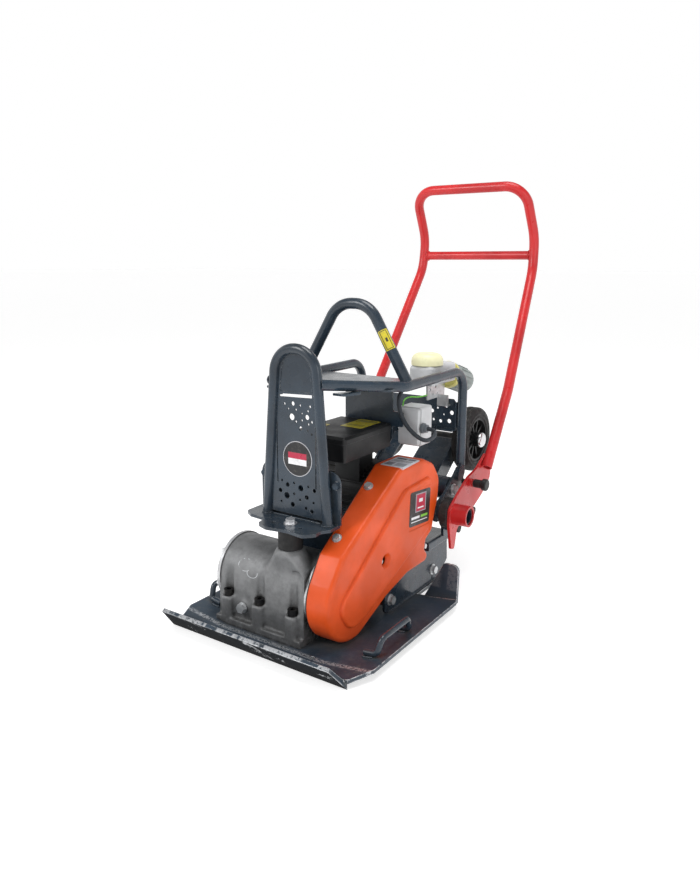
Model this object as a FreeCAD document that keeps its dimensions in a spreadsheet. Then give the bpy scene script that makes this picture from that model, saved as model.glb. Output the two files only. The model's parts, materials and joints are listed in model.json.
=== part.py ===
import FreeCAD, Part
import math
import os
from FreeCAD import Placement, Rotation, Vector

# Electric plate compactor.  X is across the machine, with the belt guard on the +X side, -Y is
# the front, +Z is up.  The origin is the middle of the sole, on the ground.

DIMENSIONS = [
    ("plate_width", 450), ("plate_thick", 8), ("bed_half", 124), ("bed_front", -191),
    ("bed_rear", 300), ("wing_rear", 198), ("wing_rise", 14), ("lip_height", 44),
    ("rib_thick", 6), ("rib_inner", 112), ("exciter_y", -52), ("exciter_z", 95),
    ("exciter_radius", 72), ("exciter_left", -153), ("exciter_right", 60),
    ("motor_y", 178), ("motor_z", 235), ("motor_radius", 70), ("shaft_radius", 12),
    ("eccentric_shaft_radius", 18), ("running_gap", 0.05), ("guard_back", 75),
    ("guard_face", 126), ("guard_wall", 3), ("deck_thick", 6), ("front_deck_z", 228),
    ("rear_deck_z", 105), ("hoop_y", -66), ("hoop_tube", 20), ("rail_tube", 21),
    ("rail_half", 135), ("rail_z", 480), ("leg_y", 373), ("loop_tube", 23), ("loop_y", 130),
    ("loop_top", 637), ("tube_wall", 2.5), ("sheet_thick", 3),
    ("handle_tube_size", 24), ("handle_plate_x", 167), ("pivot_y", 273), ("pivot_z", 180),
    ("boss_outer", 23), ("boss_inner", 18.5), ("pivot_end", 205), ("bracket_x", 130),
    ("carriage_y", 337), ("carriage_z", 214), ("axle_y", 471), ("axle_z", 303),
    ("axle_radius", 8), ("wheel_radius", 77), ("wheel_inner_x", 95), ("wheel_width", 40),
    ("belt_x", 92), ("driven_radius", 42), ("drive_radius", 36),
    ("knob_radius", 13.5), ("plunger_y", 358), ("plunger_z", 230),
    ("cable_size", 9), ("wire_size", 3), ("rod_size", 12),
]

doc = FreeCAD.newDocument("plate_compactor")
sheet = doc.addObject("Spreadsheet::Sheet", "Dimensions")
for row, (name, number) in enumerate(DIMENSIONS, start=1):
    sheet.set("A%d" % row, name)
    sheet.set("B%d" % row, str(number))
    sheet.setAlias("B%d" % row, name)
doc.recompute()

nodes = []
AXIS = {"X": Vector(1, 0, 0), "Y": Vector(0, 1, 0), "Z": Vector(0, 0, 1)}


def dim(name):
    """The value of one driving dimension."""
    return float(sheet.get(name))


# ---------------------------------------------------------------- shape helpers

def corner_edges(points, radii, closed):
    """Straight edges joined by tangent arcs; a radius of 0 leaves a corner sharp."""
    points = [Vector(*p) for p in points]
    count = len(points)
    cuts = []
    for index, point in enumerate(points):
        radius = radii[index] if isinstance(radii, (list, tuple)) else radii
        if radius <= 0 or (not closed and index in (0, count - 1)):
            cuts.append((point, None, point))
            continue
        back = (points[index - 1] - point).normalize()
        ahead = (points[(index + 1) % count] - point).normalize()
        half = back.getAngle(ahead) / 2
        reach = radius / math.tan(half)
        middle = point + (back + ahead).normalize() * (radius / math.sin(half) - radius)
        cuts.append((point + back * reach, middle, point + ahead * reach))
    edges = []
    for index, (start, middle, end) in enumerate(cuts):
        if middle is not None:
            edges.append(Part.Arc(start, middle, end))
        if closed or index < count - 1:
            following = cuts[(index + 1) % count][0]
            if end.distanceToPoint(following) > 1e-6:
                edges.append(Part.LineSegment(end, following))
    return edges


def wire(points, radii=0, closed=False):
    return Part.Wire([edge.toShape() for edge in corner_edges(points, radii, closed)])


def rod(points, radii, diameter):
    """A round bar swept along a path of straight runs and arcs."""
    path = wire(points, radii)
    start = Vector(*points[0])
    direction = (Vector(*points[1]) - start).normalize()
    section = Part.Wire([Part.makeCircle(diameter / 2, start, direction)])
    return path.makePipeShell([section], True, False)


def slab(plane, outline, radii, low, thick, holes=()):
    """A flat plate: its outline lies in plane XY, XZ or YZ, from low to low + thick."""
    places = {
        "XY": (lambda u, v: (u, v, low), AXIS["Z"]),
        "XZ": (lambda u, v: (u, low, v), AXIS["Y"]),
        "YZ": (lambda u, v: (low, u, v), AXIS["X"]),
    }
    place, normal = places[plane]
    face = Part.Face(wire([place(*p) for p in outline], radii, True))
    solid = face.extrude(normal * thick)
    for u, v, radius in holes:
        start = Vector(*place(u, v)) - normal
        solid = solid.cut(Part.makeCylinder(radius, thick + 2, start, normal))
    return solid


def box(low, high):
    size = [b - a for a, b in zip(low, high)]
    return Part.makeBox(size[0], size[1], size[2], Vector(*low))


def disc(axis, start, radius, length, bore=0):
    solid = Part.makeCylinder(radius, length, Vector(*start), AXIS[axis])
    if bore:
        solid = solid.cut(Part.makeCylinder(bore, length, Vector(*start), AXIS[axis]))
    return solid


def hexagon(axis, start, across, length):
    radius = across / math.sqrt(3)
    turns = [math.radians(60 * step) for step in range(6)]
    flat = [(radius * math.cos(t), radius * math.sin(t)) for t in turns]
    base = Vector(*start)
    if axis == "X":
        corners = [base + Vector(0, u, v) for u, v in flat]
    elif axis == "Y":
        corners = [base + Vector(u, 0, v) for u, v in flat]
    else:
        corners = [base + Vector(u, v, 0) for u, v in flat]
    face = Part.Face(Part.makePolygon(corners + corners[:1]))
    return face.extrude(AXIS[axis] * length)


def join(solids):
    result = solids[0]
    for solid in solids[1:]:
        result = result.fuse(solid)
    return result.removeSplitter()


def mirrored(shape):
    return shape.mirror(Vector(0, 0, 0), AXIS["X"])


def bolt(axis, seat, side, across, head, washer, shank_radius, shank):
    """A hexagon bolt whose washer sits on seat; side is +1 or -1 along the axis."""
    direction = AXIS[axis] * side
    base = Vector(*seat)

    def along(distance, length):
        start = base + direction * distance
        return start if side > 0 else start - AXIS[axis] * length

    pieces = [disc(axis, along(0, washer), across * 0.75, washer)]
    pieces.append(hexagon(axis, along(washer, head), across, head))
    if shank:
        pieces.append(disc(axis, along(-shank, shank), shank_radius, shank))
    return join(pieces)


# ---------------------------------------------------------------- document helpers

def feature(label, shapes):
    """A sub-part whose shape is made with Part's own functions."""
    item = doc.addObject("Part::Feature", label)
    item.Label = label
    item.Shape = shapes if isinstance(shapes, Part.Shape) else Part.makeCompound(shapes)
    nodes.append(item)
    return item


def sketch_on(body, plane, edges, circles=()):
    sketch = body.newObject("Sketcher::SketchObject", body.Name + "_sketch")
    role = plane + "_Plane"
    support = [item for item in body.Origin.OriginFeatures if item.Role == role][0]
    sketch.AttachmentSupport = [(support, "")]
    sketch.MapMode = "FlatFace"
    for edge in edges:
        sketch.addGeometry(edge, False)
    for u, v, radius in circles:
        sketch.addGeometry(Part.Circle(Vector(u, v, 0), AXIS["Z"], radius), False)
    return sketch


def padded(label, plane, outline, radii, length_name, offset, holes=()):
    """A plate as a PartDesign body: one sketch and one pad whose length the sheet drives."""
    body = doc.addObject("PartDesign::Body", label)
    body.Label = label
    flat = [(u, v, 0) for u, v in outline]
    sketch = sketch_on(body, plane, corner_edges(flat, radii, True), holes)
    pad = body.newObject("PartDesign::Pad", label + "_pad")
    pad.Profile = sketch
    pad.setExpression("Length", "Dimensions." + length_name)
    body.Tip = pad
    body.Placement = Placement(Vector(*offset), Rotation())
    nodes.append(body)
    return body


def turned(label, profile, x_start, y_name, z_name):
    """A round piece as a PartDesign body: a profile of (x, radius) turned about its X axis."""
    body = doc.addObject("PartDesign::Body", label)
    body.Label = label
    flat = [(x, radius, 0) for x, radius in profile]
    sketch = sketch_on(body, "XY", corner_edges(flat, 0, True))
    revolution = body.newObject("PartDesign::Revolution", label + "_turn")
    revolution.Profile = sketch
    revolution.ReferenceAxis = (sketch, ["H_Axis"])
    revolution.Angle = 360
    body.Tip = revolution
    body.Placement = Placement(Vector(x_start, 0, 0), Rotation())
    body.setExpression("Placement.Base.y", "Dimensions." + y_name)
    body.setExpression("Placement.Base.z", "Dimensions." + z_name)
    nodes.append(body)
    return body


# ---------------------------------------------------------------- base

def base_plate():
    thick = dim("plate_thick")
    half = dim("plate_width") / 2
    bend = dim("bed_half")
    front = dim("bed_front")
    rear = dim("wing_rear")
    rise = dim("wing_rise")
    lip_y = front - 29
    lip_z = dim("lip_height") - 4
    bed = slab("XY", [(-bend, front), (bend, front), (bend, dim("bed_rear")),
                      (-bend, dim("bed_rear"))], 0, 0, thick, [(96, -150, 4)])
    section = [(bend, 0), (half, rise), (half, rise + thick), (bend, thick)]
    wing = slab("XZ", section, 0, front, rear - front)
    corner = slab("XY", [(202, front - 1), (half + 1, front - 1), (half + 1, -138)], 0, 0, 60)
    tail = slab("XY", [(half - 12, rear + 1), (half + 1, rear + 1), (half + 1, rear - 14)], 0, 0, 60)
    wing = wing.cut(corner).cut(tail)
    lip = slab("YZ", [(front, 0), (lip_y, lip_z), (lip_y + 6.8, lip_z + 4.3), (front + 6, thick)],
               0, -half + 2, 2 * half - 4)
    chamfer = slab("XZ", [(172, 60), (202, -1), (half + 5, -1), (half + 5, 60)], 0, -230, 60)
    lip = lip.cut(chamfer)
    height = 92
    ear = slab("XZ", [(146, 12), (half - 3, 12), (half - 7, height), (184, height)],
               [0, 0, 14, 8], rear - 7, 7)
    ear.rotate(Vector(0, rear, 12), AXIS["X"], -10)
    feature("base_plate", join([bed, wing, mirrored(wing), lip, ear, mirrored(ear)]))


def side_ribs():
    """Upright ribs on the bed; the rear rubber mounts bolt to them."""
    low = dim("plate_thick")
    outline = [(72, low), (300, low), (326, 20), (353, 36), (350, 92), (236, 92), (232, 74),
               (140, 68), (72, 50)]
    rib = slab("YZ", outline, [12, 10, 10, 8, 10, 6, 10, 20, 14], dim("rib_inner"), dim("rib_thick"),
               [(y, z, 5) for y, z in MOUNTS])
    slot = slab("YZ", [(277, 12), (281, 12), (281, 24), (277, 24)], 0,
                dim("rib_inner") - 1, dim("rib_thick") + 2)
    rib = rib.cut(slot)
    feature("side_ribs", [rib, mirrored(rib)])


# Where the four rear rubber mounts meet the ribs: y and z.
MOUNTS = ((91, 35), (279, 36))


def plate_handles():
    points = [(178, -99, 22), (204, -99, 25.5), (208, -88, 52), (208, 8, 52),
              (204, 19, 25.5), (178, 19, 22)]
    bar = rod(points, [0, 9, 12, 12, 9, 0], dim("rod_size"))
    feature("plate_handles", [bar, mirrored(bar)])


# ---------------------------------------------------------------- exciter

BOLT_X = (-128, -48, 34)
BOLT_Y = (-127, 23)
BOLT_SEAT = 66
DRAIN = (-88, -131, 50)
MOUNT = (8, -97, 187)


def exciter_housing():
    y = dim("exciter_y")
    z = dim("exciter_z")
    radius = dim("exciter_radius")
    left = dim("exciter_left")
    length = dim("exciter_right") - left
    base = dim("plate_thick")
    front = -140
    rear = 36
    drum = disc("X", (left, y, z), radius, length)
    skirt = slab("YZ", [(-128, base), (-128, 52), (y - radius, z), (y + radius, z), (24, 52), (24, base)],
                 0, left, length)
    foot = box((left, front, base), (left + length, rear, base + 14))
    body = join([drum, skirt, foot])
    towers = [slab("XY", [(x - 14, front), (x + 14, front), (x + 14, -100), (x - 14, -100)],
                   [8, 8, 0, 0], base, BOLT_SEAT - base) for x in BOLT_X]
    towers += [slab("XY", [(x - 14, -4), (x + 14, -4), (x + 14, rear), (x - 14, rear)],
                    [0, 0, 8, 8], base, BOLT_SEAT - base) for x in BOLT_X]
    body = body.multiFuse(towers)
    shoulder = Part.makeCone(92, 25, MOUNT[2] - z, Vector(MOUNT[0], MOUNT[1], z), AXIS["Z"])
    body = body.fuse(shoulder.common(box((-86, y - radius, z), (left + length, y + 20, MOUNT[2]))))
    body = body.fuse(disc("Y", DRAIN, 13, 25))
    for x in BOLT_X:
        for bolt_y in BOLT_Y:
            body = body.cut(disc("Z", (x, bolt_y, BOLT_SEAT), 10.8, 90))
            body = body.cut(disc("Z", (x, bolt_y, base), 6.1, 70))
    body = body.cut(disc("X", (left + 12, y, z), 52, length - 24))
    body = body.cut(disc("X", (left, y, z), 40, length))
    body = body.cut(disc("Y", DRAIN, 6, 12))
    bend = dim("bed_half")
    wing_space = slab("XZ", [(-bend, base), (-bend, 0), (-bend - 60, 0), (-bend - 60, base + 9)], 0,
                      front - 40, 260)
    body = body.cut(wing_space)
    feature("exciter_housing", body.removeSplitter())


def exciter_covers():
    y = dim("exciter_y")
    z = dim("exciter_z")
    gap = dim("running_gap")
    bore = dim("eccentric_shaft_radius") + gap
    left = disc("X", (dim("exciter_left") - 7, y, z), 74, 7)
    left = left.fuse(disc("X", (dim("exciter_left") - 11, y, z), 30, 4))
    right = disc("X", (dim("exciter_right"), y, z), 74, 8, bore)
    feature("exciter_covers", [left, right])
    heads = []
    for step in range(6):
        turn = math.radians(15 + 60 * step)
        spot = (y + 66 * math.cos(turn), z + 66 * math.sin(turn))
        heads.append(bolt("X", (dim("exciter_left") - 7, spot[0], spot[1]), -1, 10, 6, 1.5, 0, 0))
        heads.append(hexagon("X", (dim("exciter_right") + 8, spot[0], spot[1]), 8, 3))
    feature("cover_screws", heads)


def housing_bolts():
    bolts = []
    for x in BOLT_X:
        for bolt_y in BOLT_Y:
            head = disc("Z", (x, bolt_y, BOLT_SEAT), 10, 12)
            socket = hexagon("Z", (x, bolt_y, BOLT_SEAT + 5), 9, 8)
            shank = disc("Z", (x, bolt_y, 12), 6, BOLT_SEAT - 12)
            bolts.append(join([head.cut(socket), shank]))
    feature("housing_bolts", bolts)


def drain_plug():
    x, face, z = DRAIN
    pieces = [disc("Y", (x, face - 2, z), 11, 2), hexagon("Y", (x, face - 10, z), 17, 8),
              disc("Y", (x, face, z), 5.9, 10)]
    feature("drain_plug", join(pieces))


def exciter_bearings():
    y = dim("exciter_y")
    z = dim("exciter_z")
    gap = dim("running_gap")
    bore = dim("eccentric_shaft_radius") + gap
    left = disc("X", (dim("exciter_left") + 1, y, z), 39.9, 11, bore)
    right = disc("X", (dim("exciter_right") - 12, y, z), 39.9, 11, bore)
    feature("exciter_bearings", [left, right])


def eccentric_shaft():
    """Shaft with its off-centre weight, which makes the plate shake."""
    y = dim("exciter_y")
    z = dim("exciter_z")
    left = dim("exciter_left") + 1
    shaft = disc("X", (left, y, z), dim("eccentric_shaft_radius"), 112 - left)
    weight = disc("X", (-110, y, z), 48, 120)
    weight = weight.cut(box((-111, y - 60, z + 6), (11, y + 60, z + 60)))
    feature("eccentric_shaft", join([shaft, weight]))


def pulley_profile(radius, bore, face):
    """Half section of a V pulley, as (x, radius)."""
    groove = 11
    rim = 4
    return [(0, bore), (face, bore), (face, radius), (face - rim, radius),
            (face - rim - 4, radius - groove), (rim + 4, radius - groove), (rim, radius), (0, radius)]


def pulleys():
    face = 21
    start = dim("belt_x") - face / 2 + 4
    turned("driven_pulley", pulley_profile(dim("driven_radius"), dim("eccentric_shaft_radius"), face),
           start, "exciter_y", "exciter_z")
    turned("drive_pulley", pulley_profile(dim("drive_radius"), dim("shaft_radius"), face),
           start, "motor_y", "motor_z")


def belt_loop(low_radius, high_radius, grow, x, width):
    """The closed loop round both pulleys, as a solid, its radii grown by grow."""
    start = Vector(0, dim("exciter_y"), dim("exciter_z"))
    end = Vector(0, dim("motor_y"), dim("motor_z"))
    line = end - start
    small = low_radius + grow
    large = high_radius + grow
    tilt = math.asin((small - large) / line.Length)
    heading = math.atan2(line.z, line.y)

    def spot(centre, radius, angle):
        return Vector(x, centre.y + radius * math.cos(angle), centre.z + radius * math.sin(angle))

    upper = heading + math.pi / 2 - tilt
    lower = heading - math.pi / 2 + tilt
    edges = [
        Part.LineSegment(spot(start, small, upper), spot(end, large, upper)).toShape(),
        Part.Arc(spot(end, large, upper), spot(end, large, heading), spot(end, large, lower)).toShape(),
        Part.LineSegment(spot(end, large, lower), spot(start, small, lower)).toShape(),
        Part.Arc(spot(start, small, lower), spot(start, small, heading + math.pi),
                 spot(start, small, upper)).toShape(),
    ]
    return Part.Face(Part.Wire(edges)).extrude(AXIS["X"] * width)


def v_belt():
    low = dim("driven_radius")
    high = dim("drive_radius")
    x = dim("belt_x") + 4 - 2
    outside = belt_loop(low, high, -1, x, 4)
    inside = belt_loop(low, high, -10.9, x, 4)
    feature("v_belt", outside.cut(inside))


# ---------------------------------------------------------------- belt guard

def guard_face(x, inset):
    """The guard's outline in the YZ plane as a face, moved in by inset."""
    y = dim("exciter_y")
    z = dim("exciter_z")
    radius = 86
    ends = [Vector(x, y + radius * math.cos(math.radians(turn)), z + radius * math.sin(math.radians(turn)))
            for turn in (149, 217, 285)]
    arc = Part.Arc(*ends).toShape()
    top = [(-93, 188), (99, 317), (192, 317), (232, 299), (260, 262), (257, 214), (243, 170),
           (238, 146), (213, 132), (209, 112), (238, 82), (190, 80), (140, 78), (62, 56)]
    points = [tuple(ends[2])] + [(x, u, v) for u, v in reversed(top)] + [tuple(ends[0])]
    rounds = [0, 60, 40, 16, 13, 7, 7, 22, 40, 40, 36, 30, 30, 20, 12, 0]
    outline = Part.Wire([arc] + [edge.toShape() for edge in corner_edges(points, rounds, False)])
    face = Part.Face(outline)
    return face.makeOffset2D(-inset) if inset else face


def outer_side(depth):
    """A block beyond the guard's outer face, which leans outwards towards the motor."""
    lean = 2.6
    y = dim("exciter_y")
    z = dim("exciter_z")
    block = box((dim("guard_face") - depth, y - 400, z - 400), (dim("guard_face") + 90, y + 700, z + 700))
    block.rotate(Vector(dim("guard_face") - depth, y, z), Vector(0, -0.52, 0.854), -lean)
    return block


def rounded_front(solid, depth, radius):
    """Cut a solid back to the leaning face and round the edge of that face."""
    solid = solid.cut(outer_side(depth))
    front = max(solid.Faces, key=lambda face: face.CenterOfMass.x)
    return solid.makeFillet(radius, front.Edges)


def belt_guard():
    """Moulded cover: a hollow shell, open at the back, with a raised panel on its outer face."""
    back = dim("guard_back")
    wall = dim("guard_wall")
    outer = rounded_front(guard_face(back, 0).extrude(AXIS["X"] * 90), 0, 9)
    inner = rounded_front(guard_face(back, wall + 0.4).extrude(AXIS["X"] * 90), wall, 5)
    shell = outer.cut(inner)
    outline = [(-112, 92), (112, 270), (214, 277), (213, 160), (4, 58), (-66, 30)]
    panel = slab("YZ", outline, [30, 26, 14, 14, 60, 36], 110, 60)
    panel = rounded_front(panel, -6, 5.2).cut(inner)
    label = slab("YZ", [(126, 262), (222, 258), (216, 172), (125, 176)], 6, 110, 60)
    panel = panel.cut(label.common(outer_side(-5)))
    shell = shell.fuse(panel)
    y, z = GUARD_RECESS
    floor = dim("guard_face") + 1
    shell = shell.cut(disc("X", (floor, y, z), 9, 20))
    shell = shell.cut(Part.makeCone(9, 17, 9, Vector(floor + 2, y, z), AXIS["X"]))
    for side in band_frames():
        hole = disc("Z", (0, 0, -12), 4.2, 14)
        shell = shell.cut(side(hole))
    y, z = NOTCH_SCREW
    shell = shell.cut(disc("X", (100, y, z), 4.2, 60)).cut(disc("X", (124, y, z), 9, 40))
    feature("belt_guard", max(shell.Solids, key=lambda solid: solid.Volume))


GUARD_RECESS = (43, 140)
NOTCH_SCREW = (222, 112)
BAND_SCREWS = ((90, 50), (90, -60))


def band_frames():
    """Turns that carry a piece made on the Z axis to each screw place on the front band."""
    slope = math.degrees(math.atan2(317 - 188, 99 + 93))
    frames = []
    for x, y in BAND_SCREWS:
        z = 188 + (y + 93) * math.tan(math.radians(slope))

        def carry(shape, x=x, y=y, z=z):
            turned_shape = shape.copy()
            turned_shape.rotate(Vector(0, 0, 0), AXIS["X"], slope)
            turned_shape.translate(Vector(x, y, z))
            return turned_shape

        frames.append(carry)
    return frames


def guard_backplate():
    plate = guard_face(dim("guard_back") - 3, 1).extrude(AXIS["X"] * 3)
    for y_name, z_name, radius in (("exciter_y", "exciter_z", 30), ("motor_y", "motor_z", 30)):
        plate = plate.cut(disc("X", (60, dim(y_name), dim(z_name)), radius, 30))
    feature("guard_backplate", plate)
    screws = [carry(bolt("Z", (0, 0, 0.1), 1, 13, 5, 1.5, 4, 10)) for carry in band_frames()]
    screws.append(bolt("X", (124.1, NOTCH_SCREW[0], NOTCH_SCREW[1]), 1, 10, 5, 1.2, 4, 20))
    screws.append(hexagon("X", (dim("guard_face") - 1.8, GUARD_RECESS[0] - 2, GUARD_RECESS[1] - 3), 8, 4))
    feature("guard_screws", screws)


# ---------------------------------------------------------------- motor

def motor():
    y = dim("motor_y")
    z = dim("motor_z")
    radius = dim("motor_radius")
    left = -96
    right = 38
    shaft = dim("shaft_radius")
    gap = dim("running_gap")
    shell = disc("X", (left, y, z), radius - 6, right - left)
    fins = []
    for step in range(28):
        turn = 360 / 28 * step
        if 60 < turn < 120 or 240 < turn < 300:
            continue
        fin = box((left + 4, y + radius - 9, z - 1.5), (right - 4, y + radius, z + 1.5))
        fin.rotate(Vector(0, y, z), AXIS["X"], turn)
        fins.append(fin)
    floor = dim("rear_deck_z") + dim("deck_thick")
    pads = []
    webs = []
    for x in (left + 18, right - 48):
        pads.append(box((x, y - 62, floor), (x + 30, y + 62, floor + 8)))
        for low in (y - 44, y + 30):
            webs.append(box((x + 2, low, floor + 4), (x + 28, low + 14, z - 40)))
    neck = box((-38, y - 60, z + 30), (24, y - 8, 338))
    body = shell.multiFuse(fins + pads + webs + [neck])
    body = body.cut(disc("X", (left, y, z), radius - 14, right - left))
    feature("motor_body", body.removeSplitter())
    shields = []
    for x in (left - 8, right):
        shields.append(disc("X", (x, y, z), radius - 4, 8, shaft + gap))
    feature("end_shields", shields)
    stack = disc("X", (left + 22, y, z), radius - 18, right - left - 44)
    spindle = disc("X", (-128, y, z), shaft, 112 + 128)
    feature("rotor_shaft", join([stack, spindle]))
    hub = disc("X", (-124, y, z), 20, 14, shaft)
    fan = disc("X", (-112, y, z), 56, 2, shaft)
    blades = []
    for step in range(8):
        blade = box((-124, y + 16, z - 1), (-111, y + 54, z + 1))
        blade.rotate(Vector(0, y, z), AXIS["X"], 45 * step)
        blades.append(blade)
    feature("cooling_fan", join([hub, fan] + blades).cut(disc("X", (-130, y, z), shaft, 40)))
    cowl = disc("X", (-140, y, z), radius, 38)
    cowl = cowl.cut(disc("X", (-138, y, z), radius - 2, 36))
    for ring in (18, 32, 46):
        slot = disc("X", (-141, y, z), ring + 4, 4, ring - 2)
        cowl = cowl.cut(slot.cut(box((-142, y - 80, z - 3), (-130, y + 80, z + 3))))
    feature("fan_cowl", cowl)


# ---------------------------------------------------------------- chassis

def front_mount():
    mount = doc.addObject("Part::Cylinder", "front_mount")
    mount.Label = "front_mount"
    mount.Radius = 24
    mount.setExpression("Height", "Dimensions.front_deck_z - %d" % MOUNT[2])
    mount.Placement = Placement(Vector(*MOUNT), Rotation())
    nodes.append(mount)


HANGER_X = 60
HANGER_THICK = 6


def rear_mounts():
    """Rubber blocks between the hangers under the deck and the ribs."""
    mounts = []
    bolts = []
    for y, z in MOUNTS:
        low = HANGER_X + HANGER_THICK
        mount = disc("X", (low, y, z), 16, dim("rib_inner") - low)
        mounts += [mount, mirrored(mount)]
        screw = bolt("X", (dim("rib_inner") + dim("rib_thick"), y, z), 1, 16, 8, 2, 4.9, 5.9)
        bolts += [screw, mirrored(screw)]
    feature("rear_mounts", mounts)
    feature("rib_bolts", bolts)


def chassis_deck():
    thick = dim("deck_thick")
    front_z = dim("front_deck_z")
    rear_z = dim("rear_deck_z")
    front = slab("XY", [(-112, -84), (-92, -96), (-52, -100), (-46, -128), (-20, -138), (24, -130),
                        (64, -136), (82, -118), (80, -98), (91, -84), (91, -46), (70, -40),
                        (70, 40), (-112, 40)],
                 [10, 10, 6, 10, 16, 30, 12, 8, 8, 10, 10, 10, 4, 4], front_z, thick,
                 [(8, -97, 6), (-24, -108, 4), (40, -108, 4)])
    riser = box((-112, 34, rear_z), (70, 40, front_z))
    rear = box((-118, 34, rear_z), (70, 240, rear_z + thick))
    tail = box((-118, 238, rear_z), (118, 344, rear_z + thick))
    pieces = [front, riser, rear, tail]
    for side in (1, -1):
        rail = slab("XZ", [(118, 94), (130, 94), (130, 114), (118, 114)], [2, 3, 5, 3], 238, 106)
        hanger = slab("YZ", [(73, 18), (109, 18), (124, 80), (246, 80), (261, 18), (297, 18),
                             (318, rear_z + 2), (60, rear_z + 2)],
                      [10, 10, 10, 10, 10, 10, 0, 0], HANGER_X, HANGER_THICK, [(y, z, 5) for y, z in MOUNTS])
        pieces += [rail, hanger] if side > 0 else [mirrored(rail), mirrored(hanger)]
    feature("chassis_deck", join(pieces))


def front_gusset():
    top = 336
    padded("front_gusset", "XZ", [(-95, 234), (95, 234), (95, top), (-95, top)],
           [0, 0, 24, 24], "sheet_thick", (0, -52, 0), [(86, 311, 4), (-86, 311, 4)])


def front_hoop():
    y = dim("hoop_y")
    size = dim("hoop_tube")
    base = dim("front_deck_z") + dim("deck_thick")
    points = [(-73, y, base), (-46, y, 563), (46, y, 563), (73, y, base)]
    rounds = [0, 48.5, 48.5, 0]
    outer = rod(points, rounds, size)
    outer = outer.cut(box((-100, y - 20, base - 10), (100, y + 20, base)))
    feature("front_hoop", outer.cut(rod(points, rounds, size - 2 * dim("tube_wall"))))
    panel = slab("XZ", [(-72, 240), (72, 240), (47, 561), (-47, 561)], [0, 0, 44, 44],
                 y, dim("sheet_thick"))
    for x, z, size in PANEL_HOLES:
        panel = panel.cut(disc("Y", (x, y - 1, z), size / 2, 5))
    panel = panel.cut(slab("XZ", [(-39, 474), (-33, 474), (-33, 476), (38, 479), (38, 473), (-39, 470)],
                           0, y - 1, 5))
    for x in (-46, 46):
        panel = panel.cut(slab("XZ", [(x - 1.2, 300), (x + 1.2, 300), (x + 1.2, 420), (x - 1.2, 420)],
                               0, y - 1, 5))
    pocket = slab("XZ", [(-38, 480), (38, 483), (30, 551), (-30, 551)], [4, 4, 26, 26], y - 0.1, 1.3)
    feature("hoop_panel", panel.cut(pocket).cut(outer))
    return outer


# Lightening holes of the hoop panel: x, z and diameter.
PANEL_HOLES = [
    (-27, 457, 5), (-7, 459, 8.5), (10, 457, 4.5), (33, 457, 5), (-18, 448, 4), (0, 448, 4.5),
    (28, 448, 4.5), (14, 442, 4), (-10, 433, 13), (26, 436, 10), (14, 429, 4.5), (0, 425, 5),
    (37, 428, 5), (29, 423, 4.5), (11, 413, 8.5), (28, 411, 4), (37, 405, 4),
    (-36, 305, 5), (-22, 298, 9), (-6, 304, 5), (10, 296, 12), (28, 302, 5), (42, 296, 8),
    (-40, 284, 9), (-24, 276, 13), (-6, 282, 6), (8, 272, 5), (24, 280, 9), (40, 272, 5),
    (-38, 262, 5), (-10, 260, 10), (22, 258, 6), (36, 254, 8),
]


def rails(hoop):
    half = dim("rail_half")
    z = dim("rail_z")
    leg = dim("leg_y")
    size = dim("rail_tube")
    points = [(56, dim("hoop_y"), 500), (half, 109, z), (half, leg, z + 2), (half, leg, 264)]
    rounds = [0, 60, 43, 0]
    outer = rod(points, rounds, size)
    hollow = rod(points, rounds, size - 2 * dim("tube_wall"))
    tab = slab("YZ", [(leg - 26, 234), (leg - 2, 224), (leg + 11, 244), (leg + 9, 272), (leg - 9, 272)],
               [10, 10, 8, 3, 3], dim("bracket_x") + 6, 6)
    right = outer.cut(hollow).fuse(tab).cut(hoop).cut(hollow.common(box((0, -80, 400), (60, 0, 560))))
    right = max(right.Solids, key=lambda solid: solid.Volume)
    feature("frame_rail_right", right)
    feature("frame_rail_left", mirrored(right))
    return outer.fuse(mirrored(outer))


def lifting_loop(rail_pair):
    y = dim("loop_y")
    top = dim("loop_top")
    size = dim("loop_tube")
    points = [(-132, y, 478), (-38, y, top), (38, y, top), (132, y, 478)]
    rounds = [0, 58, 58, 0]
    outer = rod(points, rounds, size)
    loop = outer.cut(rod(points, rounds, size - 2 * dim("tube_wall"))).cut(rail_pair)
    loop = max(loop.Solids, key=lambda solid: solid.Volume)
    feature("lifting_loop", loop)
    return outer


def cross_plate(rail_pair, loop):
    z = dim("rail_z")
    outline = [(-132, 60), (-60, 28), (60, 28), (132, 60), (132, 200), (-132, 200)]
    plate = slab("XY", outline, [8, 20, 20, 8, 6, 6], z - 4, 4, [(0, 60, 5), (-60, 60, 5), (60, 60, 5)])
    tab = slab("XY", [(62, -40), (92, -40), (106, 0), (84, 0)], 4, z - 2, 4)
    feature("cross_plate", [plate.cut(rail_pair).cut(loop), tab.cut(rail_pair), mirrored(tab.cut(rail_pair))])


def bulkhead():
    z = dim("rail_z") - 4
    outline = [(-60, 352), (-46, 336), (52, 336), (60, 352), (60, 378), (86, 378), (86, 410), (60, 410),
               (60, z), (-60, z)]
    padded("bulkhead", "XZ", outline, [4, 4, 4, 0, 0, 4, 4, 0, 0, 0], "sheet_thick", (0, 193, 0),
           [(-30, 360, 4), (40, 360, 4)])


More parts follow.
